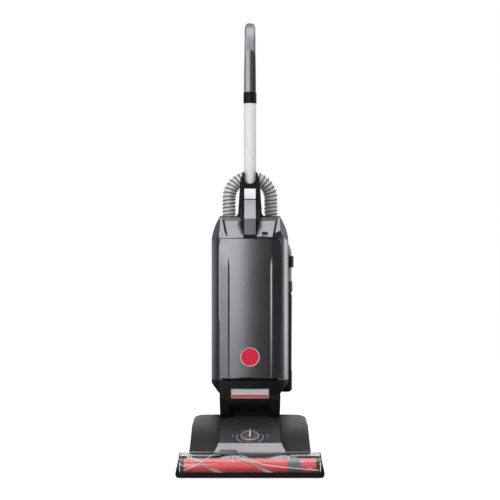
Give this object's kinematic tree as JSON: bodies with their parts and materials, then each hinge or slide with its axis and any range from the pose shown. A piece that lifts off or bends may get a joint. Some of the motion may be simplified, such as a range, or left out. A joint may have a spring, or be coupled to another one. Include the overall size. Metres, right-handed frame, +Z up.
{
  "type": "upright vacuum cleaner",
  "caption": "Upright bagged vacuum cleaner with a clear nozzle window, a tilting bag body, an on-board hose and wand, and a tube handle with a loop grip.",
  "frame": {"origin": "on the floor, under the middle of the machine's overall length and width", "axes": "+X to the right of someone looking at the front, +Y to the back, +Z up along the handle"},
  "size_m": [0.357, 0.32, 1.117],
  "materials": {
    "black_plastic": "fine grained black plastic",
    "bumper_rubber": "satin soft vinyl",
    "steel": "bright",
    "clear_plastic": "clear gloss",
    "grey_gloss": "metallic grey, semi gloss",
    "dark_grey_plastic": "satin",
    "dark_gloss": "semi gloss",
    "belt_rubber": "ribbed rubber",
    "motor_iron": "laminated iron and copper",
    "red_plastic": "gloss",
    "bristle": "nylon bristle",
    "fan_aluminium": "pressed sheet",
    "wheel_rubber": "matt",
    "knob_plastic": "semi gloss",
    "label_film": "printed film, bare",
    "indicator_plastic": "gloss",
    "tube_aluminium": "satin anodised",
    "light_grey_plastic": "satin",
    "grey_soft_plastic": "satin",
    "hose_plastic": "satin ribbed",
    "black_rubber": "matt",
    "bag_paper": "filter paper",
    "card": "pressed card",
    "foam": "open foam",
    "red_badge": "gloss, bare",
    "white_plastic": "satin"
  },
  "bodies": {
    "foot": {"foot_chassis": "black_plastic", "bumper": "bumper_rubber", "bottom_plate": "steel", "nozzle_window": "clear_plastic", "hood": "grey_gloss", "motor_cover": "dark_grey_plastic", "left_side_cover": "dark_gloss", "right_side_cover": "dark_gloss", "brush_end_caps": "black_plastic", "drive_belt": "belt_rubber", "motor_stator": "motor_iron", "left_trunnion": "dark_grey_plastic", "right_trunnion": "dark_grey_plastic", "wheel_axles": "steel", "carriage_pin": "steel", "pedal_pin": "steel", "foot_screws": "steel"},
    "brush": {"brush_core": "red_plastic", "brush_bristles": "bristle"},
    "rotor": {"motor_rotor": "motor_iron", "fan": "fan_aluminium"},
    "wheel_left": {"left_wheel": "black_plastic", "left_tyre": "wheel_rubber"},
    "wheel_right": {"right_wheel": "black_plastic", "right_tyre": "wheel_rubber"},
    "carriage": {"height_carriage": "black_plastic", "roller_axles": "steel"},
    "roller_left": {"left_roller": "wheel_rubber"},
    "roller_right": {"right_roller": "wheel_rubber"},
    "knob": {"height_knob": "knob_plastic"},
    "pedal": {"release_pedal": "black_plastic"},
    "body": {"lower_housing": "black_plastic", "label_plate": "label_film", "body_shell": "grey_gloss", "top_cover": "grey_gloss", "bag_indicator": "indicator_plastic", "carry_handle": "grey_gloss", "handle_socket": "black_plastic", "handle_tube": "tube_aluminium", "tube_collar": "black_plastic", "grip_loop": "light_grey_plastic", "grip_insert": "grey_soft_plastic", "tube_bolt": "steel", "hose": "hose_plastic", "hose_cuffs": "black_rubber", "hose_elbow": "black_plastic", "hose_clip": "black_plastic", "wand": "black_plastic", "wand_cup": "black_plastic", "dust_bag": "bag_paper", "bag_collar": "card", "motor_filter": "foam", "door_pins": "steel", "lower_cord_hook": "black_plastic", "cord_gland": "black_rubber", "body_screws": "steel"},
    "door": {"bag_door": "grey_gloss", "round_badge": "red_badge"},
    "latch": {"door_latch": "black_plastic"},
    "switch": {"power_switch": "white_plastic"}
  },
  "joints": [
    {"name": "body_tilt", "type": "hinge", "parent": "foot", "child": "body", "pos_m": [0, 0.06, 0.075], "axis": [-1, 0, 0], "range_deg": [0, 78]},
    {"name": "door_hinge", "type": "hinge", "parent": "body", "child": "door", "pos_m": [0, -0.0424, 0.233], "axis": [1, 0, 0], "range_deg": [0, 75]},
    {"name": "latch_press", "type": "slide", "parent": "body", "child": "latch", "axis": [0, 1, 0], "range_m": [0, 0.003], "stiffness_N_per_m": 800},
    {"name": "switch_press", "type": "slide", "parent": "body", "child": "switch", "axis": [0, 1, 0], "range_m": [0, 0.0025], "stiffness_N_per_m": 600},
    {"name": "motor_spin", "type": "hinge", "parent": "foot", "child": "rotor", "pos_m": [0, 0.06, 0.075], "axis": [1, 0, 0], "continuous": true},
    {"name": "brush_spin", "type": "hinge", "parent": "foot", "child": "brush", "pos_m": [0, -0.13, 0.028], "axis": [1, 0, 0], "continuous": true},
    {"name": "left_wheel_spin", "type": "hinge", "parent": "foot", "child": "wheel_left", "pos_m": [-0.12, 0.12, 0.04], "axis": [1, 0, 0], "continuous": true},
    {"name": "right_wheel_spin", "type": "hinge", "parent": "foot", "child": "wheel_right", "pos_m": [0.12, 0.12, 0.04], "axis": [1, 0, 0], "continuous": true},
    {"name": "height_knob_turn", "type": "hinge", "parent": "foot", "child": "knob", "pos_m": [0, -0.0465, 0.0846], "axis": [0, -0.3334, 0.9428], "range_deg": [-60, 60]},
    {"name": "carriage_tilt", "type": "hinge", "parent": "foot", "child": "carriage", "pos_m": [0, -0.032, 0.021], "axis": [1, 0, 0], "range_deg": [-3, 3]},
    {"name": "left_roller_spin", "type": "hinge", "parent": "carriage", "child": "roller_left", "pos_m": [-0.048, -0.074, 0.012], "axis": [1, 0, 0], "continuous": true},
    {"name": "right_roller_spin", "type": "hinge", "parent": "carriage", "child": "roller_right", "pos_m": [0.048, -0.074, 0.012], "axis": [1, 0, 0], "continuous": true},
    {"name": "pedal_press", "type": "hinge", "parent": "foot", "child": "pedal", "pos_m": [-0.094, 0.104, 0.03], "axis": [-1, 0, 0], "range_deg": [0, 12], "stiffness_Nm_per_rad": 3}
  ],
  "couplings": [
    {"joint": "brush_spin", "follows": "motor_spin", "ratio": 0.42857},
    {"joint": "carriage_tilt", "follows": "height_knob_turn", "ratio": 0.04}
  ]
}
